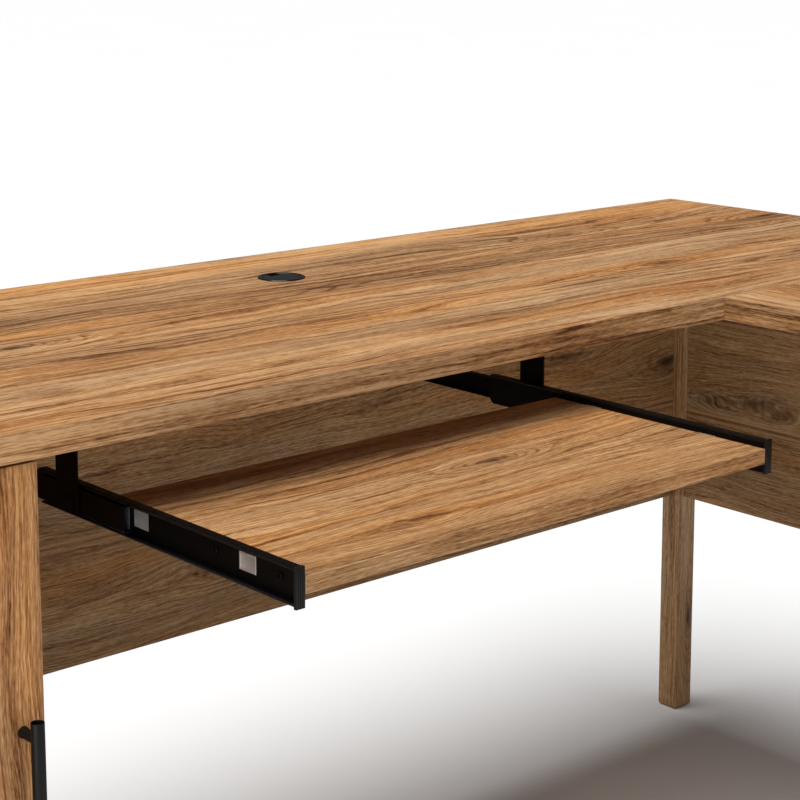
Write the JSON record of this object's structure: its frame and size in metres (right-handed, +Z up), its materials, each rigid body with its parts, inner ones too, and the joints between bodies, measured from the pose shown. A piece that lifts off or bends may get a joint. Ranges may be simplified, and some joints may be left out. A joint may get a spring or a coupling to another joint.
{
  "type": "corner desk",
  "caption": "L-shaped wood-look desk with door cabinet, cable grommet and a pull-out keyboard shelf on black slides.",
  "frame": {"origin": "on the floor, at the middle of the desk's footprint", "axes": "+Z up, +X along the main top towards the side that carries the return, +Y towards the back of the main top"},
  "size_m": [1.803, 1.626, 0.7586],
  "materials": {
    "walnut": "satin laminate with a walnut grain",
    "black_metal": "satin black powder coat",
    "black_plastic": "fine matte texture",
    "zinc": "zinc plated"
  },
  "bodies": {
    "desk": {"main_top": "walnut", "return_top": "walnut", "corner_leg": "walnut", "return_outer_leg": "walnut", "return_inner_leg": "walnut", "back_panel": "walnut", "return_panel": "walnut", "end_rail": "walnut", "case_left_side": "walnut", "case_right_side": "walnut", "case_bottom": "walnut", "case_back": "walnut", "front_stretcher": "walnut", "back_stretcher": "walnut", "toe_kick": "walnut", "shelf": "walnut", "left_fixed_slide": "black_metal", "right_fixed_slide": "black_metal", "left_front_strap": "black_metal", "left_rear_strap": "black_metal", "right_front_strap": "black_metal", "right_rear_strap": "black_metal", "seam_plates": "black_metal", "corner_brackets": "black_metal", "slide_rivets": "black_metal", "grommet_liner": "black_plastic", "catch_magnet": "black_plastic", "floor_glides": "black_plastic", "door_bumpers": "black_plastic", "seam_screws": "zinc", "bracket_screws": "zinc", "shelf_pins": "zinc", "cam_locks": "zinc", "cam_bolts": "zinc", "stretcher_screws": "zinc", "case_hinge_leaves": "zinc", "case_hinge_screws": "zinc", "hinge_pins": "zinc", "strap_screws": "zinc"},
    "keyboard_shelf": {"tray_panel": "walnut", "left_tray_rail": "black_metal", "right_tray_rail": "black_metal", "left_rail_cap": "black_plastic", "right_rail_cap": "black_plastic", "left_lock_plates": "zinc", "right_lock_plates": "zinc", "tray_screws": "black_metal"},
    "left_cage": {"left_ball_cage": "zinc"},
    "right_cage": {"right_ball_cage": "zinc"},
    "door": {"door": "walnut", "bar_pull": "black_metal", "pull_posts": "black_metal", "pull_screws": "zinc", "door_hinge_leaves": "zinc", "door_hinge_screws": "zinc", "catch_plate": "zinc"},
    "grommet_cap": {"grommet_cap": "black_plastic"}
  },
  "joints": [
    {"name": "shelf_slide", "type": "slide", "parent": "desk", "child": "keyboard_shelf", "axis": [0, -1, 0], "range_m": [-0.2, 0]},
    {"name": "left_cage_slide", "type": "slide", "parent": "desk", "child": "left_cage", "axis": [0, -1, 0], "range_m": [-0.1, 0]},
    {"name": "right_cage_slide", "type": "slide", "parent": "desk", "child": "right_cage", "axis": [0, -1, 0], "range_m": [-0.1, 0]},
    {"name": "door_swing", "type": "hinge", "parent": "desk", "child": "door", "pos_m": [-0.8984, 0.275, 0.36], "axis": [0, 0, -1], "range_deg": [0, 110]},
    {"name": "cap_turn", "type": "hinge", "parent": "desk", "child": "grommet_cap", "pos_m": [0.0575, 0.666, 0.757], "axis": [0, 0, 1], "continuous": true}
  ],
  "couplings": [
    {"joint": "left_cage_slide", "follows": "shelf_slide", "ratio": 0.5},
    {"joint": "right_cage_slide", "follows": "shelf_slide", "ratio": 0.5}
  ]
}
